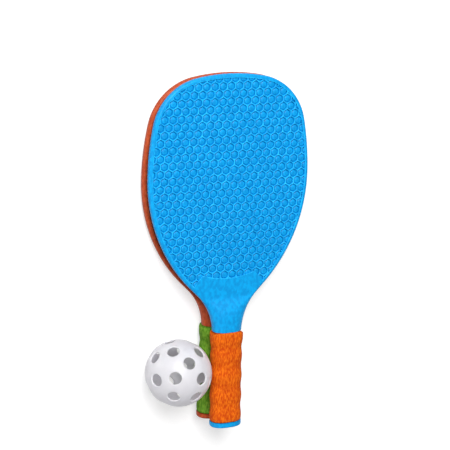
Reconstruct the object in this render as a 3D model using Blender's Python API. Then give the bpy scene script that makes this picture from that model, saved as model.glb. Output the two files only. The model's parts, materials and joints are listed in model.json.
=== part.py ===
"""Pickleball paddle set: two moulded paddles with foam grips, one lying on the other, and a perforated ball.

Metres, +Z up, +Y towards the heads. Each paddle is modelled flat, with its butt end at the origin, its length
along +Y and its mid-plane at z = 0, and is then turned and moved to where it lies in the stack.
"""

import math

import bmesh
import bpy
from mathutils import Matrix, Vector

# Paddle seen from above: neck, concave fillet, straight flank, then four arcs round the head
LENGTH = 0.390
HEAD_HALF_WIDTH = 0.0931
WIDEST_AT = 0.280
NECK_HALF_WIDTH = 0.0162
FILLET_RADIUS = 0.064
FLANK_ANGLE = math.radians(45)
LOWER_SIDE_RADIUS = 0.172
UPPER_SIDE_RADIUS = 0.297
CORNER_RADIUS = 0.0615
CROWN_RADIUS = 0.206
FILLET_STEPS = 9
HEAD_STEPS = (11, 4, 10, 3)

# Paddle seen from the side: half thicknesses, and the wedge that joins the neck to the head
HEAD_HALF_THICKNESS = 0.0037
HEAD_EDGE_BEVEL = 0.0013
NECK_HALF_THICKNESS = 0.0110
WEDGE_FROM = 0.120
WEDGE_TO = 0.147

# Sunk field of each face, inside the rim and above the throat panel
RIM_WIDTH = 0.0042
RIDGE_DEPTH = 0.0010
CELL_DEPTH = 0.0020
CELL_PITCH = 0.00946
PLAIN_DEPTH = 0.0012
THROAT_FOOT_Y = 0.162
THROAT_CORNER = (0.0307, 0.1738)
THROAT_DIP = 0.0054
THROAT_STEPS = 8

# Handle: butt, core, and the foam sleeve that fills the space between the butt and the neck
HANDLE_LENGTH = 0.1063
BUTT_LENGTH = 0.0046
BUTT_HALF_WIDTH = 0.0178
BUTT_HALF_THICKNESS = 0.0121
BUTT_ROUND = 0.0022
BUTT_TURNS = (0, 45, 90)
OVAL_TURNS = (0, 30, 60, 90)
OVAL_ROLL_IN = 0.8
OVAL_ROLL_UP = 0.9
BEVEL_TURNS = (0, 90)
CORE_HALF_WIDTH = 0.0135
CORE_HALF_THICKNESS = 0.0085
GRIP_HALF_WIDTH = 0.0177
GRIP_HALF_THICKNESS = 0.0117
GRIP_RING_PITCH = 0.0227
GRIP_RING_HEIGHT = 0.00045
GRIP_FIRST_RING = 0.010
GRIP_FLARE_FROM = 0.086
GRIP_FLARE_FULL = 0.103
GRIP_FLARE_WIDTH = 0.0020
GRIP_FLARE_THICKNESS = 0.0012
GRIP_END_ROUND = 0.0012
GRIP_STEPS = 16

# Ball: a thin shell with rings of holes, each given as angle from the pole, holes and first azimuth in degrees
BALL_RADIUS = 0.0365
BALL_WALL = 0.0017
HOLE_RADIUS = 0.00675
HOLE_SIDES = 12
HOLE_RINGS = ((0.0, 1, 0.0), (36.0, 4, 0.0), (67.4, 8, 22.5))
EQUATOR_POINTS = 24
LID_ALIGNMENT = 0.99999

# How the set lies: each paddle touches what is under it at the end of its grip's flare and at its tip
CLEARANCE = 0.0003
LOWER_SIDE_STEP = -0.0014
BALL_BESIDE = -0.0538
BALL_ALONG = 0.0657
BALL_TILT = math.radians(-39)
BALL_SPIN = math.radians(37)

# Shading: edges that turn by more than this are sharp
PADDLE_SHARP_ANGLE = math.radians(35)
GRIP_SHARP_ANGLE = math.radians(50)
BALL_SHARP_ANGLE = math.radians(40)

FINISHES = {
    "upper_paddle": ((0.010, 0.367, 0.820), 0.42),
    "upper_grip": ((0.807, 0.133, 0.009), 0.85),
    "lower_paddle": ((0.620, 0.089, 0.020), 0.42),
    "lower_grip": ((0.122, 0.292, 0.028), 0.85),
    "ball": ((0.780, 0.800, 0.850), 0.38),
}


def clear_scene():
    for old in list(bpy.data.objects):
        bpy.data.objects.remove(old, do_unlink=True)


def finish_material(name):
    colour, roughness = FINISHES[name]
    material = bpy.data.materials.new(name)
    material.use_nodes = True
    shader = material.node_tree.nodes["Principled BSDF"]
    shader.inputs["Base Color"].default_value = (*colour, 1.0)
    shader.inputs["Roughness"].default_value = roughness
    shader.inputs["Metallic"].default_value = 0.0
    return material


def object_from(name, bm):
    mesh = bpy.data.meshes.new(name)
    bm.to_mesh(mesh)
    bm.free()
    obj = bpy.data.objects.new(name, mesh)
    bpy.context.scene.collection.objects.link(obj)
    return obj


def smooth_step(value, low, high):
    t = min(max((value - low) / (high - low), 0.0), 1.0)
    return t * t * (3.0 - 2.0 * t)


def mix(a, b, t):
    return a + (b - a) * t


def arc(centre, radius, start, end, steps, concave=False):
    """Points along an arc, each with the outline's outward normal there."""
    run = []
    for i in range(steps + 1):
        angle = mix(start, end, i / steps)
        radial = Vector((math.cos(angle), math.sin(angle)))
        run.append((centre + radial * radius, -radial if concave else radial))
    return run


def head_centres():
    """Centres of the head's four arcs, and the angles at which each side arc and the crown meet the corner."""
    lower = Vector((HEAD_HALF_WIDTH - LOWER_SIDE_RADIUS, WIDEST_AT))
    upper = Vector((HEAD_HALF_WIDTH - UPPER_SIDE_RADIUS, WIDEST_AT))
    crown = Vector((0.0, LENGTH - CROWN_RADIUS))
    # The corner arc touches both its neighbours from inside, which fixes its distance to their centres
    from_upper = UPPER_SIDE_RADIUS - CORNER_RADIUS
    from_crown = CROWN_RADIUS - CORNER_RADIUS
    line = crown - upper
    along = (from_upper**2 - from_crown**2 + line.length_squared) / (2.0 * line.length)
    across = math.sqrt(from_upper**2 - along**2)
    unit = line.normalized()
    corner = upper + unit * along + Vector((-unit.y, unit.x)) * across
    corner_start = math.atan2(corner.y - upper.y, corner.x - upper.x)
    corner_end = math.atan2(corner.y - crown.y, corner.x - crown.x)
    return lower, upper, corner, crown, corner_start, corner_end


def head_outline(inset, start):
    """Right half of the head's outline from an angle on its flank to just before the tip, moved in by inset."""
    lower, upper, corner, crown, corner_start, corner_end = head_centres()
    run = arc(lower, LOWER_SIDE_RADIUS - inset, start, 0.0, HEAD_STEPS[0])
    run += arc(upper, UPPER_SIDE_RADIUS - inset, 0.0, corner_start, HEAD_STEPS[1])[1:]
    run += arc(corner, CORNER_RADIUS - inset, corner_start, corner_end, HEAD_STEPS[2])[1:]
    run += arc(crown, CROWN_RADIUS - inset, corner_end, math.pi / 2, HEAD_STEPS[3])[1:-1]
    return run


def neck_outline():
    """Right half of the neck: a concave fillet that starts along the neck and ends along the flank."""
    lower = head_centres()[0]
    centre_x = NECK_HALF_WIDTH + FILLET_RADIUS
    past_flank = (centre_x - lower.x) * math.cos(FLANK_ANGLE) - LOWER_SIDE_RADIUS - FILLET_RADIUS
    centre = Vector((centre_x, lower.y + past_flank / math.sin(FLANK_ANGLE)))
    run = arc(centre, FILLET_RADIUS, math.pi, math.pi - FLANK_ANGLE, FILLET_STEPS, concave=True)
    start = (Vector((NECK_HALF_WIDTH, HANDLE_LENGTH)), Vector((1.0, 0.0)))
    return [start] + [station for station in run if station[0].y > HANDLE_LENGTH + CLEARANCE]


def half_section(point, normal, half_thickness, roll_in, roll_up, turns=OVAL_TURNS):
    """Points round the right edge at one station, from underneath to on top, with the edge rolled over."""
    column = []
    for side, order in ((-1, reversed(turns)), (1, turns)):
        for turn in order:
            angle = math.radians(turn)
            spot = point - normal * roll_in * (1.0 - math.cos(angle))
            height = half_thickness - roll_up * (1.0 - math.sin(angle))
            column.append(Vector((spot.x, spot.y, side * height)))
    return column


def oval_section(y, half_width, half_thickness):
    """A section of the handle: an oval with a narrow flat at each quarter."""
    point = Vector((half_width, y))
    roll_in, roll_up = OVAL_ROLL_IN * half_width, OVAL_ROLL_UP * half_thickness
    return half_section(point, Vector((1.0, 0.0)), half_thickness, roll_in, roll_up)


def paddle_sections():
    """Half sections from the butt end to the tip."""
    columns = []
    for turn in BUTT_TURNS:
        angle = math.radians(turn)
        inset = BUTT_ROUND * (1.0 - math.sin(angle))
        y = BUTT_ROUND * (1.0 - math.cos(angle))
        columns.append(oval_section(y, BUTT_HALF_WIDTH - inset, BUTT_HALF_THICKNESS - inset))
    columns.append(oval_section(BUTT_LENGTH, BUTT_HALF_WIDTH, BUTT_HALF_THICKNESS))
    columns.append(oval_section(BUTT_LENGTH, CORE_HALF_WIDTH, CORE_HALF_THICKNESS))
    columns.append(oval_section(HANDLE_LENGTH, CORE_HALF_WIDTH, CORE_HALF_THICKNESS))
    for point, normal in neck_outline():
        head = smooth_step(point.y, WEDGE_FROM, WEDGE_TO)
        half_thickness = mix(NECK_HALF_THICKNESS, HEAD_HALF_THICKNESS, head)
        roll_in = mix(OVAL_ROLL_IN * point.x, HEAD_EDGE_BEVEL, head)
        roll_up = mix(OVAL_ROLL_UP * NECK_HALF_THICKNESS, HEAD_EDGE_BEVEL, head)
        columns.append(half_section(point, normal, half_thickness, roll_in, roll_up))
    bevel = (HEAD_HALF_THICKNESS, HEAD_EDGE_BEVEL, HEAD_EDGE_BEVEL, BEVEL_TURNS)
    for point, normal in head_outline(0.0, -FLANK_ANGLE)[1:]:
        columns.append(half_section(point, normal, *bevel))
    return columns


def mirrored_loop(bm, column):
    """A closed loop of vertices: a half section and its mirror image."""
    right = [bm.verts.new(p) for p in column]
    left = [bm.verts.new((-p.x, p.y, p.z)) for p in reversed(column)]
    return right + left


def join_loops(bm, near, far):
    """Triangles between two loops, walked at an even pace, so that their counts may differ."""
    i = j = 0
    while i < len(near) or j < len(far):
        a, b = near[i % len(near)], far[j % len(far)]
        if (i + 0.5) / len(near) < (j + 0.5) / len(far):
            i += 1
            bm.faces.new((a, near[i % len(near)], b))
        else:
            j += 1
            bm.faces.new((a, far[j % len(far)], b))


def loft_paddle():
    """The paddle before its faces are sunk: a skin over every section, closed at the butt and the tip."""
    bm = bmesh.new()
    loops = [mirrored_loop(bm, column) for column in paddle_sections()]
    for near, far in zip(loops, loops[1:]):
        join_loops(bm, near, far)
    for end in (loops[0], loops[-1]):
        count = len(end)
        for i in range(count // 2 - 1):
            bm.faces.new((end[i], end[i + 1], end[count - 2 - i], end[count - 1 - i]))
    bmesh.ops.recalc_face_normals(bm, faces=bm.faces)
    return object_from("paddle", bm)


def field_outline():
    """The sunk field's edge, counter-clockwise: the rim's inner edge, then the raised throat panel's."""
    lower = head_centres()[0]
    start = math.asin((THROAT_FOOT_Y - lower.y) / (LOWER_SIDE_RADIUS - RIM_WIDTH))
    right = [point for point, _ in head_outline(RIM_WIDTH, start)]
    left = [Vector((-point.x, point.y)) for point in reversed(right)]
    half_chord, corner_y = THROAT_CORNER
    radius = (half_chord**2 + THROAT_DIP**2) / (2.0 * THROAT_DIP)
    centre = Vector((0.0, corner_y - THROAT_DIP + radius))
    swing = math.asin(half_chord / radius)
    throat = arc(centre, radius, -math.pi / 2 - swing, -math.pi / 2 + swing, THROAT_STEPS)
    return right + left + [point for point, _ in throat]


def field_cutter(name, low, high):
    """A prism on the field's outline between two heights."""
    bm = bmesh.new()
    face = bm.faces.new([bm.verts.new((p.x, p.y, low)) for p in field_outline()])
    grown = bmesh.ops.extrude_face_region(bm, geom=[face])
    top = [item for item in grown["geom"] if isinstance(item, bmesh.types.BMVert)]
    bmesh.ops.translate(bm, verts=top, vec=(0.0, 0.0, high - low))
    bmesh.ops.recalc_face_normals(bm, faces=bm.faces)
    return object_from(name, bm)


def honeycomb_slab(top):
    """A slab whose underside is a sheet of six-sided points, one for each cell, in rows across the head."""
    bm = bmesh.new()
    row_step = CELL_PITCH * math.sqrt(3.0) / 2.0
    rows = range(int(THROAT_FOOT_Y / row_step), int(LENGTH / row_step) + 2)
    reach = int(HEAD_HALF_WIDTH / CELL_PITCH) + 2
    ridge = HEAD_HALF_THICKNESS - RIDGE_DEPTH
    for row in rows:
        for column in range(-reach, reach + 1):
            place = Matrix.Translation(((column + 0.5 * (row % 2)) * CELL_PITCH, row * row_step, ridge))
            cell = bmesh.ops.create_circle(
                bm, cap_ends=True, cap_tris=True, segments=6, radius=CELL_PITCH / math.sqrt(3.0), matrix=place
            )
            middle = max(cell["verts"], key=lambda vert: len(vert.link_edges))
            middle.co.z = HEAD_HALF_THICKNESS - CELL_DEPTH
    bmesh.ops.remove_doubles(bm, verts=bm.verts, dist=0.0001)
    grown = bmesh.ops.extrude_face_region(bm, geom=list(bm.faces), use_keep_orig=True)
    upper = [item for item in grown["geom"] if isinstance(item, bmesh.types.BMVert)]
    bmesh.ops.translate(bm, verts=upper, vec=(0.0, 0.0, top))
    bmesh.ops.recalc_face_normals(bm, faces=bm.faces)
    return object_from("honeycomb_slab", bm)


def boolean(obj, other, operation):
    modifier = obj.modifiers.new(other.name, "BOOLEAN")
    modifier.operation = operation
    modifier.object = other
    modifier.solver = "EXACT"


def paddle_mesh():
    """One moulding with both faces sunk: honeycombed on +Z, the side that shows in the stack, plain on -Z."""
    beyond = 4.0 * HEAD_HALF_THICKNESS
    paddle = loft_paddle()
    slab = honeycomb_slab(beyond)
    cells = field_cutter("cells_cutter", 0.0, 2.0 * HEAD_HALF_THICKNESS)
    plain = field_cutter("plain_cutter", -beyond, PLAIN_DEPTH - HEAD_HALF_THICKNESS)
    boolean(cells, slab, "INTERSECT")
    boolean(paddle, cells, "DIFFERENCE")
    boolean(paddle, plain, "DIFFERENCE")
    evaluated = paddle.evaluated_get(bpy.context.evaluated_depsgraph_get())
    mesh = bpy.data.meshes.new_from_object(evaluated)
    for helper in (paddle, slab, cells, plain):
        bpy.data.objects.remove(helper, do_unlink=True)
    mesh.shade_smooth()
    mesh.set_sharp_from_angle(angle=PADDLE_SHARP_ANGLE)
    return mesh


def grip_size(y):
    """Half width and half thickness of the sleeve: soft rings, and a flare at the neck end."""
    flare = smooth_step(y, GRIP_FLARE_FROM, GRIP_FLARE_FULL)
    ring = math.cos(2.0 * math.pi * (y - GRIP_FIRST_RING) / GRIP_RING_PITCH)
    wave = GRIP_RING_HEIGHT * ring * (1.0 - flare)
    half_width = GRIP_HALF_WIDTH + wave + GRIP_FLARE_WIDTH * flare
    half_thickness = GRIP_HALF_THICKNESS + wave + GRIP_FLARE_THICKNESS * flare
    return half_width, half_thickness


def grip_mesh():
    """The sleeve as rings of points: along its outside from butt to neck, and back through its bore."""
    start = BUTT_LENGTH + CLEARANCE
    end = HANDLE_LENGTH - CLEARANCE
    profile = []
    for i in range(GRIP_STEPS + 1):
        y = mix(start + GRIP_END_ROUND, end - GRIP_END_ROUND, i / GRIP_STEPS)
        profile.append((y, *grip_size(y)))
    first, last = profile[0], profile[-1]
    profile.insert(0, (start, first[1] - GRIP_END_ROUND, first[2] - GRIP_END_ROUND))
    profile.append((end, last[1] - GRIP_END_ROUND, last[2] - GRIP_END_ROUND))
    profile.append((end, CORE_HALF_WIDTH + CLEARANCE, CORE_HALF_THICKNESS + CLEARANCE))
    profile.append((start, CORE_HALF_WIDTH + CLEARANCE, CORE_HALF_THICKNESS + CLEARANCE))
    bm = bmesh.new()
    loops = [mirrored_loop(bm, oval_section(*size)) for size in profile]
    for near, far in zip(loops, loops[1:] + loops[:1]):
        join_loops(bm, near, far)
    bmesh.ops.recalc_face_normals(bm, faces=bm.faces)
    mesh = bpy.data.meshes.new("grip")
    bm.to_mesh(mesh)
    bm.free()
    mesh.shade_smooth()
    mesh.set_sharp_from_angle(angle=GRIP_SHARP_ANGLE)
    return mesh


def hole_axes():
    """Directions of the holes: a pole and two rings in each half, the lower half a mirror of the upper."""
    axes = []
    for from_pole, holes, first in HOLE_RINGS:
        for k in range(holes):
            azimuth = math.radians(first + 360.0 * k / holes)
            tilt = math.radians(from_pole)
            axis = Vector((math.sin(tilt) * math.cos(azimuth), math.sin(tilt) * math.sin(azimuth), math.cos(tilt)))
            axes.append(axis)
            axes.append(Vector((axis.x, axis.y, -axis.z)))
    return axes


def ball_turn():
    """How the ball has rolled: spun about its own pole, then tipped over."""
    return Matrix.Rotation(BALL_TILT, 4, "X") @ Matrix.Rotation(BALL_SPIN, 4, "Z")


def ball_mesh():
    """Skin stretched over the rims of the holes and the weld line, opened at the holes and given a wall."""
    bm = bmesh.new()
    axes = hole_axes()
    rim_height = math.sqrt(BALL_RADIUS**2 - HOLE_RADIUS**2)
    for axis in axes:
        turn = axis.to_track_quat("Z", "Y").to_matrix().to_4x4()
        rim = turn @ Matrix.Translation((0.0, 0.0, rim_height))
        bmesh.ops.create_circle(bm, segments=HOLE_SIDES, radius=HOLE_RADIUS, matrix=rim)
    for k in range(EQUATOR_POINTS):
        angle = 2.0 * math.pi * k / EQUATOR_POINTS
        bm.verts.new((BALL_RADIUS * math.cos(angle), BALL_RADIUS * math.sin(angle), 0.0))
    # One more point of skin where the ball rests, so that its facets reach the floor
    bm.verts.new(ball_turn().inverted() @ Vector((0.0, 0.0, -BALL_RADIUS)))
    bmesh.ops.convex_hull(bm, input=list(bm.verts))
    bmesh.ops.recalc_face_normals(bm, faces=bm.faces)
    lids = [face for face in bm.faces if any(face.normal.dot(axis) > LID_ALIGNMENT for axis in axes)]
    bmesh.ops.delete(bm, geom=lids, context="FACES")
    grown = bmesh.ops.extrude_face_region(bm, geom=list(bm.faces), use_keep_orig=True)
    inner = [item for item in grown["geom"] if isinstance(item, bmesh.types.BMVert)]
    shrink = 1.0 - BALL_WALL / BALL_RADIUS
    bmesh.ops.scale(bm, verts=inner, vec=(shrink, shrink, shrink))
    bmesh.ops.recalc_face_normals(bm, faces=bm.faces)
    mesh = bpy.data.meshes.new("ball")
    bm.to_mesh(mesh)
    bm.free()
    mesh.shade_smooth()
    mesh.set_sharp_from_angle(angle=BALL_SHARP_ANGLE)
    return mesh


def piece(name, mesh, matrix):
    obj = bpy.data.objects.new(name, mesh)
    mesh.materials.clear()
    mesh.materials.append(finish_material(name))
    obj.matrix_world = matrix
    bpy.context.scene.collection.objects.link(obj)
    return obj


def stack_matrices():
    """Places of the lower and the upper paddle over a floor at height zero."""
    flare_y = HANDLE_LENGTH - CLEARANCE - GRIP_END_ROUND
    flare_height = GRIP_HALF_THICKNESS + GRIP_FLARE_THICKNESS
    tip_y = LENGTH - HEAD_EDGE_BEVEL
    tilt = math.atan((flare_height - HEAD_HALF_THICKNESS) / (tip_y - flare_y))
    along = Vector((0.0, math.cos(tilt), -math.sin(tilt)))
    up = Vector((0.0, math.sin(tilt), math.cos(tilt)))
    lower_origin = Vector((0.0, 0.0, flare_y * math.sin(tilt) + flare_height * math.cos(tilt)))
    # The upper paddle mirrors the lower one in the plane that lies on its flare and its tip
    touch = lower_origin + along * flare_y + up * flare_height
    normal = Vector((0.0, math.sin(2.0 * tilt), math.cos(2.0 * tilt)))
    upper_origin = lower_origin + normal * (2.0 * (touch - lower_origin).dot(normal) + CLEARANCE)
    turned_over = Matrix.Rotation(math.pi, 4, "Y")
    lower_place = Matrix.Translation(lower_origin + Vector((LOWER_SIDE_STEP, 0.0, 0.0)))
    lower = lower_place @ Matrix.Rotation(-tilt, 4, "X") @ turned_over
    upper = Matrix.Translation(upper_origin) @ Matrix.Rotation(-3.0 * tilt, 4, "X")
    return lower, upper


def centre_over_origin(objects):
    """Slide the set along the floor until the middle of its box is over the origin."""
    bpy.context.view_layer.update()
    corners = [obj.matrix_world @ vert.co for obj in objects for vert in obj.data.vertices]
    middle_x = (min(p.x for p in corners) + max(p.x for p in corners)) / 2.0
    middle_y = (min(p.y for p in corners) + max(p.y for p in corners)) / 2.0
    for obj in objects:
        obj.matrix_world = Matrix.Translation((-middle_x, -middle_y, 0.0)) @ obj.matrix_world


def build_set():
    clear_scene()
    lower, upper = stack_matrices()
    paddle = paddle_mesh()
    grip = grip_mesh()
    ball_place = Matrix.Translation((BALL_BESIDE, BALL_ALONG, BALL_RADIUS))
    pieces = [
        piece("upper_paddle", paddle, upper),
        piece("upper_grip", grip, upper),
        piece("lower_paddle", paddle.copy(), lower),
        piece("lower_grip", grip.copy(), lower),
        piece("ball", ball_mesh(), ball_place @ ball_turn()),
    ]
    centre_over_origin(pieces)


build_set()
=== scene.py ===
"""Pickleball paddle set: two moulded paddles with foam grips, one on the other, and a perforated ball."""

import json
import math

import bpy
from mathutils import Matrix, Vector


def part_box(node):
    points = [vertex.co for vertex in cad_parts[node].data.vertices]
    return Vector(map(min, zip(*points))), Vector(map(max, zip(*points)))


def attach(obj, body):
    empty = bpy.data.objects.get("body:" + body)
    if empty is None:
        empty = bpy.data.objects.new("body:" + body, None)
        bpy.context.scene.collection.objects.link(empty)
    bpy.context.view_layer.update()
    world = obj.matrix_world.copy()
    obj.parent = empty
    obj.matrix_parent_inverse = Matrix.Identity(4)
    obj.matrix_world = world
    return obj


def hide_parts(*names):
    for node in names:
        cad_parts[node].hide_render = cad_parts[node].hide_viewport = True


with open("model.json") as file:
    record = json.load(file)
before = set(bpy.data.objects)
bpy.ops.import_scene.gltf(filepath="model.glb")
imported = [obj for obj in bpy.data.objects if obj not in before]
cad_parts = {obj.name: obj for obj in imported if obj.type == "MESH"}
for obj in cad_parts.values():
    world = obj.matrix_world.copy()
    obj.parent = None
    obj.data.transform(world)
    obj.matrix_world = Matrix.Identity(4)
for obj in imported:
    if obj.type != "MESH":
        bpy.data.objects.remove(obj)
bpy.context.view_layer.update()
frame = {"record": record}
mounts = {mount["name"]: mount for mount in frame["record"]["mounts"]}


# Camera
# Looks down on the set from over the heads and a little to the left, and is rolled so that the heads
# point up in the picture. The lens is long, as for a catalogue picture.
CAMERA_AIM = Vector((-0.0029, 0.0326, 0.0265))
CAMERA_AZIMUTH = math.radians(-127.23)
CAMERA_ELEVATION = math.radians(58.98)
CAMERA_ROLL = math.radians(126.48)
CAMERA_DISTANCE = 1.786
CAMERA_LENS = 133.2

bpy.ops.object.camera_add()
camera = bpy.context.object
camera.name = "camera"
camera.data.lens = CAMERA_LENS
camera.data.clip_start = 0.05
camera.data.clip_end = 20.0
turn = (
    Matrix.Rotation(CAMERA_AZIMUTH, 4, "Z")
    @ Matrix.Rotation(math.pi / 2 - CAMERA_ELEVATION, 4, "X")
    @ Matrix.Rotation(CAMERA_ROLL, 4, "Z")
)
camera.matrix_world = Matrix.Translation(CAMERA_AIM) @ turn @ Matrix.Translation((0.0, 0.0, CAMERA_DISTANCE))
bpy.context.scene.camera = camera


# Floor and light
# A white sweep far wider than the set, one large soft lamp from over the heads, a weaker one from the
# left, and an even white surround. Rays from the camera see the sweep a little brighter, as plain white.
FLOOR_SIZE = 12.0
FLOOR_COLOUR = (0.62, 0.62, 0.62, 1.0)
FLOOR_LIFT = 0.50
SURROUND_STRENGTH = 0.36
KEY_SIZE = 1.2
KEY_PLACE = Vector((-0.50, 1.30, 1.65))
KEY_POWER = 56.0
FILL_SIZE = 1.2
FILL_PLACE = Vector((-1.5, -0.4, 0.9))
FILL_POWER = 4.0

bpy.ops.mesh.primitive_plane_add(size=FLOOR_SIZE)
floor = bpy.context.object
floor.name = "floor"
sweep = bpy.data.materials.new("white_sweep")
sweep.use_nodes = True
nodes, links = sweep.node_tree.nodes, sweep.node_tree.links
shader = nodes["Principled BSDF"]
shader.inputs["Base Color"].default_value = FLOOR_COLOUR
shader.inputs["Roughness"].default_value = 0.9
shader.inputs["Specular IOR Level"].default_value = 0.1
shader.inputs["Emission Color"].default_value = (1.0, 1.0, 1.0, 1.0)
rays = nodes.new("ShaderNodeLightPath")
seen = nodes.new("ShaderNodeMath")
seen.operation = "ADD"
seen.use_clamp = True
seen_all = nodes.new("ShaderNodeMath")
seen_all.operation = "ADD"
seen_all.use_clamp = True
lift = nodes.new("ShaderNodeMath")
lift.operation = "MULTIPLY"
lift.inputs[1].default_value = FLOOR_LIFT
links.new(rays.outputs["Is Camera Ray"], seen.inputs[0])
links.new(rays.outputs["Is Glossy Ray"], seen.inputs[1])
links.new(seen.outputs[0], seen_all.inputs[0])
links.new(rays.outputs["Is Transmission Ray"], seen_all.inputs[1])
links.new(seen_all.outputs[0], lift.inputs[0])
links.new(lift.outputs[0], shader.inputs["Emission Strength"])
floor.data.materials.append(sweep)

surround = bpy.data.worlds.new("surround")
surround.use_nodes = True
surround.node_tree.nodes["Background"].inputs["Color"].default_value = (1.0, 1.0, 1.0, 1.0)
surround.node_tree.nodes["Background"].inputs["Strength"].default_value = SURROUND_STRENGTH
bpy.context.scene.world = surround
bpy.context.scene.view_settings.view_transform = "Standard"

for name, size, place, power in (
    ("key_lamp", KEY_SIZE, KEY_PLACE, KEY_POWER),
    ("fill_lamp", FILL_SIZE, FILL_PLACE, FILL_POWER),
):
    bpy.ops.object.light_add(type="AREA", location=place)
    lamp = bpy.context.object
    lamp.name = name
    lamp.data.shape = "DISK"
    lamp.data.size = size
    lamp.data.energy = power
    lamp.rotation_euler = place.to_track_quat("Z", "Y").to_euler()


# Paddle moulding
# One injection moulding in polypropylene: head, neck, the core inside the grip and the butt.
# It is modelled flat with the butt at the origin, then turned and moved to where each paddle lies.
LENGTH = 0.390
HEAD_HALF_WIDTH = 0.0931
WIDEST_AT = 0.280
NECK_HALF_WIDTH = 0.0162
FILLET_RADIUS = 0.064
FLANK_ANGLE = math.radians(45)
LOWER_SIDE_RADIUS = 0.172
UPPER_SIDE_RADIUS = 0.297
CORNER_RADIUS = 0.0615
CROWN_RADIUS = 0.206
NECK_STEPS = 26
HEAD_STEPS = (26, 8, 24, 8)
HEAD_HALF_THICKNESS = 0.0037
RIM_ROLL_IN = 0.0030
RIM_ROLL_UP = 0.0022
NECK_HALF_THICKNESS = 0.0110
WEDGE_FROM = 0.120
WEDGE_TO = 0.147
NECK_ROLL_IN = 0.8
NECK_ROLL_UP = 0.9
HANDLE_LENGTH = 0.1090
CORE_HALF_WIDTH = 0.0135
CORE_HALF_THICKNESS = 0.0085
BUTT_LENGTH = 0.0057
BUTT_HALF_WIDTH = 0.0178
BUTT_HALF_THICKNESS = 0.0121
BUTT_ROUND = 0.0022
BUTT_STEPS = 6
QUARTER_STEPS = 8
SEAM_HALF_WIDTH = 0.00022
SEAM_HEIGHT = 0.00012


def mix(a, b, t):
    return a + (b - a) * t


def smooth_step(value, low, high):
    t = min(max((value - low) / (high - low), 0.0), 1.0)
    return t * t * (3.0 - 2.0 * t)


def arc(centre, radius, start, end, steps, concave=False):
    """Points along an arc, each with the outline's outward normal there."""
    run = []
    for i in range(steps + 1):
        angle = mix(start, end, i / steps)
        radial = Vector((math.cos(angle), math.sin(angle)))
        run.append((centre + radial * radius, -radial if concave else radial))
    return run


def head_outline(inset, start):
    """Right half of the head's outline, moved in by inset, from an angle on its flank to the tip."""
    lower = Vector((HEAD_HALF_WIDTH - LOWER_SIDE_RADIUS, WIDEST_AT))
    upper = Vector((HEAD_HALF_WIDTH - UPPER_SIDE_RADIUS, WIDEST_AT))
    crown = Vector((0.0, LENGTH - CROWN_RADIUS))
    from_upper = UPPER_SIDE_RADIUS - CORNER_RADIUS
    from_crown = CROWN_RADIUS - CORNER_RADIUS
    line = crown - upper
    along = (from_upper**2 - from_crown**2 + line.length_squared) / (2.0 * line.length)
    across = math.sqrt(from_upper**2 - along**2)
    unit = line.normalized()
    corner = upper + unit * along + Vector((-unit.y, unit.x)) * across
    corner_start = math.atan2(corner.y - upper.y, corner.x - upper.x)
    corner_end = math.atan2(corner.y - crown.y, corner.x - crown.x)
    run = arc(lower, LOWER_SIDE_RADIUS - inset, start, 0.0, HEAD_STEPS[0])
    run += arc(upper, UPPER_SIDE_RADIUS - inset, 0.0, corner_start, HEAD_STEPS[1])[1:]
    run += arc(corner, CORNER_RADIUS - inset, corner_start, corner_end, HEAD_STEPS[2])[1:]
    run += arc(crown, CROWN_RADIUS - inset, corner_end, math.pi / 2, HEAD_STEPS[3])[1:]
    return run


def neck_outline():
    """Right half of the neck's outline: along the neck, then a concave fillet into the flank."""
    lower = Vector((HEAD_HALF_WIDTH - LOWER_SIDE_RADIUS, WIDEST_AT))
    centre_x = NECK_HALF_WIDTH + FILLET_RADIUS
    past_flank = (centre_x - lower.x) * math.cos(FLANK_ANGLE) - LOWER_SIDE_RADIUS - FILLET_RADIUS
    centre = Vector((centre_x, lower.y + past_flank / math.sin(FLANK_ANGLE)))
    run = arc(centre, FILLET_RADIUS, math.pi, math.pi - FLANK_ANGLE, NECK_STEPS, concave=True)
    start = (Vector((NECK_HALF_WIDTH, HANDLE_LENGTH)), Vector((1.0, 0.0)))
    return [start] + [station for station in run if station[0].y > HANDLE_LENGTH + 0.0005]


def closed_section(point, normal, half_thickness, roll_in, roll_up, seam_height=SEAM_HEIGHT):
    """Points once round a section: the right edge from underneath to on top, then its mirror image."""
    upper = []
    for i in range(QUARTER_STEPS + 1):
        angle = math.pi / 2 * i / QUARTER_STEPS
        spot = point - normal * roll_in * (1.0 - math.cos(angle))
        upper.append(Vector((spot.x, spot.y, half_thickness - roll_up * (1.0 - math.sin(angle)))))
    lower = [Vector((p.x, p.y, -p.z)) for p in reversed(upper)]
    crest = point + normal * seam_height
    seam = [
        Vector((point.x, point.y, -SEAM_HALF_WIDTH)),
        Vector((crest.x, crest.y, 0.0)),
        Vector((point.x, point.y, SEAM_HALF_WIDTH)),
    ]
    right = lower + seam + upper
    return right + [Vector((-p.x, p.y, p.z)) for p in reversed(right)]


def oval_section(y, half_width, half_thickness, seam_height=SEAM_HEIGHT, roll_share=NECK_ROLL_IN):
    point, outward = Vector((half_width, y)), Vector((1.0, 0.0))
    roll_in, roll_up = roll_share * half_width, NECK_ROLL_UP * half_thickness
    return closed_section(point, outward, half_thickness, roll_in, roll_up, seam_height)


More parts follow.
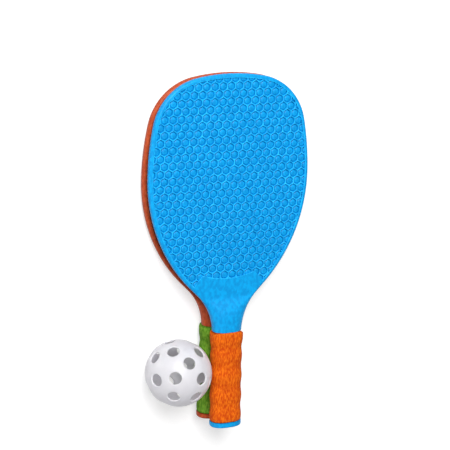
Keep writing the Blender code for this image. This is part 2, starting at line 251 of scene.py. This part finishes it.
def wrap_sections(name, sections, ring=False):
    """A sheet of quads laid over a row of closed sections and welded along its edges into one skin."""
    around = len(sections[0])
    rows = sections + sections[:1] if ring else sections
    bpy.ops.object.select_all(action="DESELECT")
    bpy.ops.mesh.primitive_grid_add(x_subdivisions=around, y_subdivisions=len(rows) - 1)
    skin = bpy.context.object
    skin.name = name
    for row, section in enumerate(rows):
        for k in range(around + 1):
            skin.data.vertices[row * (around + 1) + k].co = section[k % around]
    bpy.ops.object.mode_set(mode="EDIT")
    bpy.ops.mesh.select_all(action="SELECT")
    bpy.ops.mesh.remove_doubles(threshold=0.000002)
    bpy.ops.mesh.fill_holes(sides=0)
    bpy.ops.mesh.select_all(action="SELECT")
    bpy.ops.mesh.normals_make_consistent(inside=False)
    bpy.ops.object.mode_set(mode="OBJECT")
    return skin


sections = []
for i in range(BUTT_STEPS + 1):
    angle = math.pi / 2 * i / BUTT_STEPS
    inset = BUTT_ROUND * (1.0 - math.sin(angle))
    y = BUTT_ROUND * (1.0 - math.cos(angle))
    sections.append(oval_section(y, BUTT_HALF_WIDTH - inset, BUTT_HALF_THICKNESS - inset))
sections.append(oval_section(BUTT_LENGTH, BUTT_HALF_WIDTH, BUTT_HALF_THICKNESS))
sections.append(oval_section(BUTT_LENGTH, CORE_HALF_WIDTH, CORE_HALF_THICKNESS))
sections.append(oval_section(HANDLE_LENGTH, CORE_HALF_WIDTH, CORE_HALF_THICKNESS))
for point, normal in neck_outline():
    head = smooth_step(point.y, WEDGE_FROM, WEDGE_TO)
    half_thickness = mix(NECK_HALF_THICKNESS, HEAD_HALF_THICKNESS, head)
    roll_in = mix(NECK_ROLL_IN * point.x, RIM_ROLL_IN, head)
    roll_up = mix(NECK_ROLL_UP * NECK_HALF_THICKNESS, RIM_ROLL_UP, head)
    sections.append(closed_section(point, normal, half_thickness, roll_in, roll_up))
for point, normal in head_outline(0.0, -FLANK_ANGLE)[1:]:
    sections.append(closed_section(point, normal, HEAD_HALF_THICKNESS, RIM_ROLL_IN, RIM_ROLL_UP))
moulding = wrap_sections("moulding", sections)


# Honeycomb of the head
# Both faces are sunk inside the rim and above the smooth throat panel, down to a net of six-sided ridges
# with a groove and a low round button inside each. The form that is sunk in is made like a mould insert.
RIM_WIDTH = 0.0042
CREST_WIDTH = 0.0009
CREST_DEPTH = 0.0002
THROAT_FOOT_Y = 0.162
THROAT_CORNER = (0.0307, 0.1738)
THROAT_DIP = 0.0054
THROAT_STEPS = 24
CELL_PITCH = 0.00946
RIDGE_HALF_WIDTH = 0.00050
RIDGE_DEPTH = 0.0007
WALL_RUN = 0.00062
GROOVE_DEPTH = 0.0023
BUTTON_RUN = 0.00095
BUTTON_RADIUS = 0.0026
BUTTON_DEPTH = 0.0012
BUTTON_DIMPLE = 0.00050
INSERT_HEIGHT = 0.006


def field_outline(inset):
    """The sunk field's edge, moved in by inset: along the rim, then over the throat panel."""
    lower = Vector((HEAD_HALF_WIDTH - LOWER_SIDE_RADIUS, WIDEST_AT))
    start = math.asin((THROAT_FOOT_Y - lower.y + inset) / (LOWER_SIDE_RADIUS - RIM_WIDTH - inset))
    right = [point for point, _ in head_outline(RIM_WIDTH + inset, start)]
    left = [Vector((-point.x, point.y)) for point in reversed(right[:-1])]
    half_chord, corner_y = THROAT_CORNER
    radius = (half_chord**2 + THROAT_DIP**2) / (2.0 * THROAT_DIP)
    centre = Vector((0.0, corner_y - THROAT_DIP + radius))
    swing = math.asin(half_chord / radius)
    throat = arc(centre, radius - inset, -math.pi / 2 - swing, -math.pi / 2 + swing, THROAT_STEPS)
    return right + left + [point for point, _ in throat]


def copy_of(piece, name):
    double = bpy.data.objects.new(name, piece.data.copy())
    bpy.context.scene.collection.objects.link(double)
    return double


def cut(piece, tool, operation):
    """Applies a Boolean with the tool, and leaves only the piece."""
    bpy.ops.object.select_all(action="DESELECT")
    piece.select_set(True)
    bpy.context.view_layer.objects.active = piece
    bpy.ops.object.modifier_add(type="BOOLEAN")
    modifier = piece.modifiers[-1]
    modifier.operation = operation
    modifier.object = tool
    modifier.solver = "EXACT"
    bpy.ops.object.modifier_apply(modifier=modifier.name)
    bpy.data.objects.remove(tool, do_unlink=True)


bpy.ops.object.select_all(action="DESELECT")
bpy.ops.mesh.primitive_circle_add(
    vertices=12, radius=CELL_PITCH / math.sqrt(3.0), fill_type="NGON", rotation=(0.0, 0.0, math.pi / 6)
)
cells = bpy.context.object
cells.name = "cells"
bpy.ops.object.transform_apply(location=False, rotation=True, scale=False)
for vertex in cells.data.vertices:
    along_side = math.degrees(math.atan2(vertex.co.y, vertex.co.x)) % 60.0
    if min(along_side, 60.0 - along_side) < 1.0:
        vertex.co *= math.cos(math.pi / 6)
    vertex.co.z = HEAD_HALF_THICKNESS - RIDGE_DEPTH
bpy.ops.object.mode_set(mode="EDIT")
bpy.ops.mesh.select_all(action="SELECT")
bpy.ops.mesh.inset(thickness=RIDGE_HALF_WIDTH)
bpy.ops.mesh.inset(thickness=WALL_RUN, depth=RIDGE_DEPTH - GROOVE_DEPTH)
bpy.ops.mesh.inset(thickness=BUTTON_RUN, depth=GROOVE_DEPTH - BUTTON_DEPTH)
bpy.ops.object.mode_set(mode="OBJECT")
for vertex in cells.data.vertices:
    if vertex.select:
        vertex.co.xy = vertex.co.xy.normalized() * BUTTON_RADIUS
bpy.ops.object.mode_set(mode="EDIT")
bpy.ops.mesh.poke(offset=-BUTTON_DIMPLE)
bpy.ops.mesh.select_all(action="SELECT")
bpy.ops.mesh.quads_convert_to_tris()
bpy.ops.object.mode_set(mode="OBJECT")

# The next row's cell lies half a pitch along, and the pair is repeated over the whole head
row_step = CELL_PITCH * math.sqrt(3.0) / 2.0
columns = 2 * int(HEAD_HALF_WIDTH / CELL_PITCH) + 3
row_pairs = int((LENGTH - THROAT_FOOT_Y) / (2.0 * row_step)) + 3
first_row = 2 * int(THROAT_FOOT_Y / (2.0 * row_step))
next_cell = copy_of(cells, "next_cell")
next_cell.data.transform(Matrix.Translation((0.5 * CELL_PITCH, row_step, 0.0)))
bpy.ops.object.select_all(action="DESELECT")
next_cell.select_set(True)
cells.select_set(True)
bpy.context.view_layer.objects.active = cells
bpy.ops.object.join()
for count, step in ((columns, (CELL_PITCH, 0.0, 0.0)), (row_pairs, (0.0, 2.0 * row_step, 0.0))):
    bpy.ops.object.modifier_add(type="ARRAY")
    array = cells.modifiers[-1]
    array.count = count
    array.use_relative_offset = False
    array.use_constant_offset = True
    array.constant_offset_displace = step
    bpy.ops.object.modifier_apply(modifier=array.name)
cells.data.transform(Matrix.Translation((-CELL_PITCH * (columns // 2), first_row * row_step, 0.0)))
bpy.ops.object.mode_set(mode="EDIT")
bpy.ops.mesh.select_all(action="SELECT")
bpy.ops.mesh.remove_doubles(threshold=0.00002)
bpy.ops.mesh.extrude_region_move(TRANSFORM_OT_translate={"value": (0.0, 0.0, INSERT_HEIGHT)})
bpy.ops.mesh.select_all(action="SELECT")
bpy.ops.mesh.normals_make_consistent(inside=False)
bpy.ops.object.mode_set(mode="OBJECT")

# The insert's edge is flared at the top, which leaves a low crest along the rim and the throat panel. What is
# sunk has a second material slot, which tells it from the open skin.
SUNK = 1


def outline_layer(inset, depth):
    return [Vector((p.x, p.y, HEAD_HALF_THICKNESS - depth)) for p in field_outline(inset)]


flared = [
    outline_layer(-CREST_WIDTH, -INSERT_HEIGHT / 2),
    outline_layer(-CREST_WIDTH, -CREST_DEPTH / 10),
    outline_layer(0.0, CREST_DEPTH),
    outline_layer(0.0, HEAD_HALF_THICKNESS),
]
insert = wrap_sections("insert", flared)
for piece in (moulding, insert, cells):
    for _ in range(2):
        piece.data.materials.append(None)
for piece in (insert, cells):
    for face in piece.data.polygons:
        face.material_index = SUNK
cut(insert, cells, "INTERSECT")
far_insert = copy_of(insert, "far_insert")
far_insert.data.transform(Matrix.Rotation(math.pi, 4, "Y"))
cut(moulding, insert, "DIFFERENCE")
cut(moulding, far_insert, "DIFFERENCE")

# How high each face's corners lie between the grooves and the ridges, for the finish to read: it paints shade
# into the grooves and a highlight onto the ridges. The open skin of the rim and the throat has a level of its
# own, under that of its chamfer and of the highlighted ridges.
OPEN_SKIN = 0.7
relief = moulding.data.attributes.new("relief", "FLOAT", "CORNER")
for face in moulding.data.polygons:
    for corner, k in zip(face.loop_indices, face.vertices):
        depth = HEAD_HALF_THICKNESS - abs(moulding.data.vertices[k].co.z)
        level = 1.0 - smooth_step(depth, RIDGE_DEPTH, GROOVE_DEPTH)
        relief.data[corner].value = level if face.material_index == SUNK else OPEN_SKIN
moulding.data.materials.clear()
SMOOTH_BELOW = math.radians(75)
bpy.ops.object.select_all(action="DESELECT")
moulding.select_set(True)
bpy.context.view_layer.objects.active = moulding
bpy.ops.object.shade_smooth_by_angle(angle=SMOOTH_BELOW)
bpy.ops.object.modifier_add(type="WEIGHTED_NORMAL")
moulding.modifiers[-1].keep_sharp = True
bpy.ops.object.modifier_apply(modifier=moulding.modifiers[-1].name)


# Moulded plastic finish
# Satin polypropylene: the colour clouds a little, the grooves are painted darker as shade and the ridges
# paler as a highlight, and the mould leaves a fine grain that breaks up the shine.
def node_group(name, inputs, outputs):
    group = bpy.data.node_groups.new(name, "ShaderNodeTree")
    for socket, kind in inputs:
        group.interface.new_socket(socket, in_out="INPUT", socket_type="NodeSocket" + kind)
    for socket, kind in outputs:
        group.interface.new_socket(socket, in_out="OUTPUT", socket_type="NodeSocket" + kind)
    return group, group.nodes.new("NodeGroupInput"), group.nodes.new("NodeGroupOutput")


def noise(group, scale, detail, stretch=(1.0, 1.0, 1.0)):
    """Noise over the object's own coordinates, in features of 1/scale metres."""
    place = group.nodes.new("ShaderNodeTexCoord")
    mapping = group.nodes.new("ShaderNodeMapping")
    mapping.inputs["Scale"].default_value = stretch
    texture = group.nodes.new("ShaderNodeTexNoise")
    texture.inputs["Scale"].default_value = scale
    texture.inputs["Detail"].default_value = detail
    group.links.new(place.outputs["Object"], mapping.inputs["Vector"])
    group.links.new(mapping.outputs["Vector"], texture.inputs["Vector"])
    return texture.outputs["Fac"]


def blend_colours(group, factor, first, second):
    mixer = group.nodes.new("ShaderNodeMix")
    mixer.data_type = "RGBA"
    group.links.new(factor, mixer.inputs["Factor"])
    for value, socket in ((first, mixer.inputs["A"]), (second, mixer.inputs["B"])):
        group.links.new(value, socket)
    return mixer.outputs["Result"]


def remap(group, value, low, high):
    """A value from 0 to 1 spread between low and high."""
    ranger = group.nodes.new("ShaderNodeMapRange")
    ranger.inputs["To Min"].default_value = low
    ranger.inputs["To Max"].default_value = high
    group.links.new(value, ranger.inputs["Value"])
    return ranger.outputs["Result"]


def contrast(group, value, low, high):
    """The part of a value between low and high, spread from 0 to 1."""
    ranger = group.nodes.new("ShaderNodeMapRange")
    ranger.inputs["From Min"].default_value = low
    ranger.inputs["From Max"].default_value = high
    group.links.new(value, ranger.inputs["Value"])
    return ranger.outputs["Result"]


GRAIN_SCALE = 1500.0
PEBBLE_SCALE = 330.0
PEBBLE_SHARE = 0.60
CLOUD_SCALE = 45.0

moulded_skin, skin_in, skin_out = node_group(
    "moulded_skin",
    (("Groove Shade Color", "Color"), ("Wall Color", "Color"), ("Ridge Highlight Color", "Color"), ("Relief", "Float")),
    (("Color", "Color"), ("Roughness", "Float"), ("Height", "Float")),
)
cloud = contrast(moulded_skin, noise(moulded_skin, CLOUD_SCALE, 3.0), 0.35, 0.65)
grain = noise(moulded_skin, GRAIN_SCALE, 2.0)
pebble = contrast(moulded_skin, noise(moulded_skin, PEBBLE_SCALE, 1.0, (1.0, 0.6, 1.0)), 0.36, 0.64)
# Painted shade: the grooves get a darker colour than the open skin, the deeper the darker.
shaded_grooves = blend_colours(
    moulded_skin,
    contrast(moulded_skin, skin_in.outputs["Relief"], 0.0, OPEN_SKIN),
    skin_in.outputs["Groove Shade Color"],
    skin_in.outputs["Wall Color"],
)
# Painted highlight: the ridge crests get a paler colour, broken up by the cloud noise.
ridge_highlight_share = moulded_skin.nodes.new("ShaderNodeMath")
ridge_highlight_share.operation = "MULTIPLY"
moulded_skin.links.new(remap(moulded_skin, cloud, 0.35, 1.0), ridge_highlight_share.inputs[0])
moulded_skin.links.new(contrast(moulded_skin, skin_in.outputs["Relief"], OPEN_SKIN, 1.0), ridge_highlight_share.inputs[1])
lit = blend_colours(moulded_skin, ridge_highlight_share.outputs[0], shaded_grooves, skin_in.outputs["Ridge Highlight Color"])
pebble_share = remap(moulded_skin, pebble, PEBBLE_SHARE, 0.0)
# Random pebble flecks in the groove shade's colour, laid over the painted shade and highlight.
flecked_shade_and_highlight = blend_colours(moulded_skin, pebble_share, lit, skin_in.outputs["Groove Shade Color"])
moulded_skin.links.new(flecked_shade_and_highlight, skin_out.inputs["Color"])
moulded_skin.links.new(remap(moulded_skin, grain, 0.36, 0.52), skin_out.inputs["Roughness"])
uneven = moulded_skin.nodes.new("ShaderNodeMath")
uneven.operation = "MULTIPLY_ADD"
uneven.inputs[1].default_value = 0.12
moulded_skin.links.new(grain, uneven.inputs[0])
moulded_skin.links.new(pebble, uneven.inputs[2])
moulded_skin.links.new(uneven.outputs[0], skin_out.inputs["Height"])


def moulded_plastic(name, groove_shade_colour, wall, ridge_highlight_colour):
    """A satin plastic from three shades of one colour: painted shade for the grooves, the open skin, and a
    painted highlight for the ridges.
    """
    material = bpy.data.materials.new(name)
    material.use_nodes = True
    tree = material.node_tree
    shader = tree.nodes["Principled BSDF"]
    skin = tree.nodes.new("ShaderNodeGroup")
    skin.node_tree = moulded_skin
    for socket, colour in (("Groove Shade Color", groove_shade_colour), ("Wall Color", wall), ("Ridge Highlight Color", ridge_highlight_colour)):
        skin.inputs[socket].default_value = (*colour, 1.0)
    height = tree.nodes.new("ShaderNodeAttribute")
    height.attribute_name = "relief"
    bump = tree.nodes.new("ShaderNodeBump")
    bump.inputs["Strength"].default_value = 0.6
    bump.inputs["Distance"].default_value = 0.0002
    tree.links.new(height.outputs["Fac"], skin.inputs["Relief"])
    tree.links.new(skin.outputs["Color"], shader.inputs["Base Color"])
    tree.links.new(skin.outputs["Roughness"], shader.inputs["Roughness"])
    tree.links.new(skin.outputs["Height"], bump.inputs["Height"])
    tree.links.new(bump.outputs["Normal"], shader.inputs["Normal"])
    shader.inputs["Specular IOR Level"].default_value = 0.16
    return material


# Upper paddle
# The blue one lies on top with its honeycomb up, on the lower one's grip and tip. Its smooth throat
# panel gives its place.
# The groove colour is painted shade in the honeycomb's grooves, the ridge colour a painted highlight on its
# crests; the skin colour is the plastic's own.
BLUE_GROOVE_SHADE = (0.001, 0.195, 0.500)
BLUE_SKIN = (0.001, 0.325, 0.710)
BLUE_RIDGE_HIGHLIGHT = (0.020, 0.500, 0.960)
THROAT_MARK = 0.156


def paddle_place(mount, turned_over):
    """Where a paddle lies, from a point on its throat panel and the way that the panel faces."""
    facing = Vector(mount["axis"])
    tip_down = math.atan2(-facing.y, facing.z) if not turned_over else math.atan2(facing.y, -facing.z)
    turn = Matrix.Rotation(tip_down, 4, "X")
    if turned_over:
        turn = turn @ Matrix.Rotation(math.pi, 4, "Y")
    mark = turn @ Vector((0.0, THROAT_MARK, HEAD_HALF_THICKNESS))
    return Matrix.Translation(Vector(mount["pos_m"]) - mark) @ turn


upper_place = paddle_place(mounts["upper_throat"], False)
upper_paddle = copy_of(moulding, "upper_paddle_moulding")
upper_paddle.data.transform(upper_place)
upper_paddle.data.materials.append(moulded_plastic("blue_plastic_skin", BLUE_GROOVE_SHADE, BLUE_SKIN, BLUE_RIDGE_HIGHLIGHT))
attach(upper_paddle, "root")
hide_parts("upper_paddle")


# Lower paddle
# The same moulding in orange, turned over, so that the two lie face to face.
# The groove colour is painted shade in the honeycomb's grooves, the ridge colour a painted highlight on its
# crests; the skin colour is the plastic's own.
ORANGE_GROOVE_SHADE = (0.280, 0.032, 0.008)
ORANGE_SKIN = (0.460, 0.074, 0.021)
ORANGE_RIDGE_HIGHLIGHT = (0.570, 0.115, 0.042)

lower_place = paddle_place(mounts["lower_throat_underside"], True)
lower_paddle = moulding
lower_paddle.name = "lower_paddle_moulding"
lower_paddle.data.transform(lower_place)
lower_paddle.data.materials.append(
    moulded_plastic("orange_plastic_skin", ORANGE_GROOVE_SHADE, ORANGE_SKIN, ORANGE_RIDGE_HIGHLIGHT)
)
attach(lower_paddle, "root")
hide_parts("lower_paddle")


# Grip sleeves
# Closed-cell foam, moulded in a tube with soft rings and a wider end at the neck, stretched over the
# handle's core and held between the butt and the neck's shoulder.
SLEEVE_GAP = 0.0003
GRIP_HALF_WIDTH = 0.0174
GRIP_HALF_THICKNESS = 0.0117
GRIP_RING_PITCH = 0.0227
GRIP_RING_HEIGHT = 0.00045
GRIP_FIRST_RING = 0.012
GRIP_FLARE_FROM = 0.088
GRIP_FLARE_FULL = 0.105
GRIP_FLARE_WIDTH = 0.0007
GRIP_FLARE_THICKNESS = 0.0006
GRIP_FLARE_ROLL = 0.5
GRIP_SIDE_DROP = 0.0022
GRIP_END_ROUND = 0.0016
GRIP_STEPS = 90
END_STEPS = 5

start = BUTT_LENGTH + SLEEVE_GAP
end = HANDLE_LENGTH - SLEEVE_GAP


def grip_section(y, drawn_in=0.0):
    """The sleeve's outside at y. Towards the neck it grows flatter in front and its sides end lower."""
    flare = smooth_step(y, GRIP_FLARE_FROM, GRIP_FLARE_FULL)
    ring = math.cos(2.0 * math.pi * (y - GRIP_FIRST_RING) / GRIP_RING_PITCH)
    wave = GRIP_RING_HEIGHT * ring * (1.0 - flare) - drawn_in
    half_width = GRIP_HALF_WIDTH + wave + GRIP_FLARE_WIDTH * flare
    half_thickness = GRIP_HALF_THICKNESS + wave + GRIP_FLARE_THICKNESS * flare
    section = oval_section(y, half_width, half_thickness, 0.0, mix(NECK_ROLL_IN, GRIP_FLARE_ROLL, flare))
    for point in section:
        point.y -= GRIP_SIDE_DROP * flare * abs(point.x / half_width) ** 6
    return section


sections = []
for i in range(END_STEPS):
    angle = math.pi / 2 * i / END_STEPS
    rise = GRIP_END_ROUND * (1.0 - math.cos(angle))
    sections.append(grip_section(start + rise, GRIP_END_ROUND * (1.0 - math.sin(angle))))
for i in range(GRIP_STEPS + 1):
    sections.append(grip_section(mix(start + GRIP_END_ROUND, end - GRIP_END_ROUND, i / GRIP_STEPS)))
for i in reversed(range(END_STEPS)):
    angle = math.pi / 2 * i / END_STEPS
    rise = GRIP_END_ROUND * (1.0 - math.cos(angle))
    sections.append(grip_section(end - rise, GRIP_END_ROUND * (1.0 - math.sin(angle))))
for y in (end, start):
    sections.append(oval_section(y, CORE_HALF_WIDTH + SLEEVE_GAP, CORE_HALF_THICKNESS + SLEEVE_GAP, 0.0))
sleeve = wrap_sections("sleeve", sections, ring=True)
bpy.ops.object.shade_smooth_by_angle(angle=math.radians(50))

PORE_SCALE = 1400.0
STREAK_SCALE = 760.0
STREAK_SHARE = 0.9
MOTTLE_SCALE = 70.0

foam_skin, foam_in, foam_out = node_group(
    "foam_skin",
    (("Pore Color", "Color"), ("Skin Color", "Color"), ("Dry Color", "Color")),
    (("Color", "Color"), ("Height", "Float")),
)
streaks = noise(foam_skin, STREAK_SCALE, 1.0, (1.0, 0.28, 1.0))
mottle = noise(foam_skin, MOTTLE_SCALE, 3.0)
pores = foam_skin.nodes.new("ShaderNodeTexVoronoi")
pores.inputs["Scale"].default_value = PORE_SCALE
pore_place = foam_skin.nodes.new("ShaderNodeTexCoord")
foam_skin.links.new(pore_place.outputs["Object"], pores.inputs["Vector"])
pore_open = contrast(foam_skin, pores.outputs["Distance"], 0.0, 0.45)
streak_level = contrast(foam_skin, streaks, 0.38, 0.62)
skin_tone = blend_colours(
    foam_skin,
    remap(foam_skin, streak_level, 0.0, STREAK_SHARE),
    foam_in.outputs["Skin Color"],
    foam_in.outputs["Dry Color"],
)
mottled = blend_colours(
    foam_skin,
    remap(foam_skin, contrast(foam_skin, mottle, 0.3, 0.7), 0.25, 0.0),
    skin_tone,
    foam_in.outputs["Pore Color"],
)
pored = blend_colours(
    foam_skin, remap(foam_skin, pore_open, 0.55, 0.0), mottled, foam_in.outputs["Pore Color"]
)
heights = foam_skin.nodes.new("ShaderNodeMath")
heights.operation = "ADD"
foam_skin.links.new(pore_open, heights.inputs[0])
foam_skin.links.new(streak_level, heights.inputs[1])
foam_skin.links.new(pored, foam_out.inputs["Color"])
foam_skin.links.new(heights.outputs[0], foam_out.inputs["Height"])


def grip_foam(name, pore, skin, dry):
    """Matt closed-cell foam with open pores and a skin drawn out along the grip."""
    material = bpy.data.materials.new(name)
    material.use_nodes = True
    tree = material.node_tree
    shader = tree.nodes["Principled BSDF"]
    surface = tree.nodes.new("ShaderNodeGroup")
    surface.node_tree = foam_skin
    for socket, colour in (("Pore Color", pore), ("Skin Color", skin), ("Dry Color", dry)):
        surface.inputs[socket].default_value = (*colour, 1.0)
    bump = tree.nodes.new("ShaderNodeBump")
    bump.inputs["Strength"].default_value = 0.6
    bump.inputs["Distance"].default_value = 0.00025
    tree.links.new(surface.outputs["Color"], shader.inputs["Base Color"])
    tree.links.new(surface.outputs["Height"], bump.inputs["Height"])
    tree.links.new(bump.outputs["Normal"], shader.inputs["Normal"])
    shader.inputs["Roughness"].default_value = 0.8
    shader.inputs["Specular IOR Level"].default_value = 0.12
    return material


for name, place, node, slot, pore, skin, dry in (
    (
        "upper_grip_sleeve", upper_place, "upper_grip", "orange_foam",
        (0.330, 0.026, 0.001), (0.560, 0.064, 0.001), (0.840, 0.175, 0.005),
    ),
    (
        "lower_grip_sleeve", lower_place, "lower_grip", "green_foam",
        (0.022, 0.085, 0.004), (0.085, 0.235, 0.010), (0.210, 0.420, 0.040),
    ),
):
    grip = copy_of(sleeve, name)
    grip.data.transform(place)
    grip.data.materials.append(grip_foam(slot + "_skin", pore, skin, dry))
    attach(grip, "root")
    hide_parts(node)
bpy.data.objects.remove(sleeve, do_unlink=True)


# Ball
# Two halves of polyethylene, moulded with their holes and welded at the middle, which leaves a fine
# raised line. The shell is thin enough to let some light through.
BALL_RADIUS = 0.0365
BALL_WALL = 0.0017
HOLE_RADIUS = 0.00675
HOLE_CHAMFER = 0.0003
HOLE_SIDES = 48
HOLE_RINGS = ((0.0, 1, 0.0), (36.0, 4, 0.0), (67.4, 8, 22.5))
BALL_TILT = math.radians(-39)
BALL_SPIN = math.radians(37)
WELD_HALF_WIDTH = 0.00035
WELD_HEIGHT = 0.00010
PLUG_FLARE = 0.002
BALL_CLOUD_SCALE = 60.0
BALL_GRAIN_SCALE = 900.0

bpy.ops.object.select_all(action="DESELECT")
bpy.ops.mesh.primitive_uv_sphere_add(segments=128, ring_count=64, radius=BALL_RADIUS)
ball = bpy.context.object
ball.name = "ball_shell"
bpy.ops.object.mode_set(mode="EDIT")
bpy.ops.mesh.select_all(action="DESELECT")
bpy.ops.object.mode_set(mode="OBJECT")
for edge in ball.data.edges:
    edge.select = all(abs(ball.data.vertices[k].co.z) < 0.00001 for k in edge.vertices)
bpy.ops.object.mode_set(mode="EDIT")
bpy.ops.mesh.select_mode(type="EDGE")
bpy.ops.mesh.bevel(offset=WELD_HALF_WIDTH, segments=4)
bpy.ops.object.mode_set(mode="OBJECT")
for vertex in ball.data.vertices:
    raised = WELD_HEIGHT * (1.0 - smooth_step(abs(vertex.co.z), 0.0, WELD_HALF_WIDTH))
    vertex.co = vertex.co.normalized() * (BALL_RADIUS + raised)
bpy.ops.object.select_all(action="DESELECT")
bpy.ops.mesh.primitive_uv_sphere_add(segments=64, ring_count=32, radius=BALL_RADIUS - BALL_WALL)
bpy.ops.object.mode_set(mode="EDIT")
bpy.ops.mesh.flip_normals()
bpy.ops.object.mode_set(mode="OBJECT")
ball.select_set(True)
bpy.context.view_layer.objects.active = ball
bpy.ops.object.join()

# One plug, flared where it meets the skin, is copied to every hole and cut away
flare_start = math.sqrt(BALL_RADIUS**2 - HOLE_RADIUS**2) - HOLE_CHAMFER
bpy.ops.object.select_all(action="DESELECT")
bpy.ops.mesh.primitive_cylinder_add(
    vertices=HOLE_SIDES, radius=HOLE_RADIUS, depth=flare_start / 4, location=(0.0, 0.0, flare_start * 7 / 8)
)
plug = bpy.context.object
bpy.ops.object.transform_apply(location=True)
bpy.ops.object.mode_set(mode="EDIT")
bpy.ops.mesh.select_mode(type="FACE")
bpy.ops.mesh.select_all(action="DESELECT")
bpy.ops.object.mode_set(mode="OBJECT")
for face in plug.data.polygons:
    face.select = face.normal.z > 0.9
bpy.ops.object.mode_set(mode="EDIT")
bpy.ops.mesh.extrude_region_move(TRANSFORM_OT_translate={"value": (0.0, 0.0, PLUG_FLARE)})
widened = 1.0 + PLUG_FLARE / HOLE_RADIUS
bpy.ops.transform.resize(value=(widened, widened, 1.0))
bpy.ops.object.mode_set(mode="OBJECT")
plugs = []
for from_pole, holes, first in HOLE_RINGS:
    for k in range(holes):
        azimuth = math.radians(first + 360.0 * k / holes)
        tilt = math.radians(from_pole)
        for turn_over in (0.0, math.pi):
            copy = copy_of(plug, "plug")
            aim = Matrix.Rotation(azimuth, 4, "Z") @ Matrix.Rotation(tilt, 4, "Y")
            copy.data.transform(Matrix.Rotation(turn_over, 4, "X") @ aim)
            plugs.append(copy)
bpy.data.objects.remove(plug, do_unlink=True)
bpy.ops.object.select_all(action="DESELECT")
for copy in plugs:
    copy.select_set(True)
bpy.context.view_layer.objects.active = plugs[0]
bpy.ops.object.join()
cut(ball, plugs[0], "DIFFERENCE")
bpy.ops.object.shade_smooth_by_angle(angle=math.radians(50))

low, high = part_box("ball")
centre = Vector(((low[0] + high[0]) / 2, (low[1] + high[1]) / 2, BALL_RADIUS))
ball.data.transform(
    Matrix.Translation(centre) @ Matrix.Rotation(BALL_TILT, 4, "X") @ Matrix.Rotation(BALL_SPIN, 4, "Z")
)

white = bpy.data.materials.new("white_plastic_skin")
white.use_nodes = True
tree = white.node_tree
shader = tree.nodes["Principled BSDF"]
cloud = contrast(tree, noise(tree, BALL_CLOUD_SCALE, 3.0), 0.3, 0.7)
tint = tree.nodes.new("ShaderNodeMix")
tint.data_type = "RGBA"
tint.inputs["A"].default_value = (0.74, 0.73, 0.79, 1.0)
tint.inputs["B"].default_value = (0.68, 0.67, 0.73, 1.0)
tree.links.new(cloud, tint.inputs["Factor"])
tree.links.new(tint.outputs["Result"], shader.inputs["Base Color"])
grain = noise(tree, BALL_GRAIN_SCALE, 2.0)
bump = tree.nodes.new("ShaderNodeBump")
bump.inputs["Strength"].default_value = 0.25
bump.inputs["Distance"].default_value = 0.00005
tree.links.new(grain, bump.inputs["Height"])
tree.links.new(bump.outputs["Normal"], shader.inputs["Normal"])
tree.links.new(remap(tree, grain, 0.38, 0.52), shader.inputs["Roughness"])
shader.inputs["Subsurface Weight"].default_value = 1.0
shader.inputs["Subsurface Radius"].default_value = (1.0, 1.0, 1.0)
shader.inputs["Subsurface Scale"].default_value = 0.010
ball.data.materials.append(white)
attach(ball, "root")
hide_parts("ball")
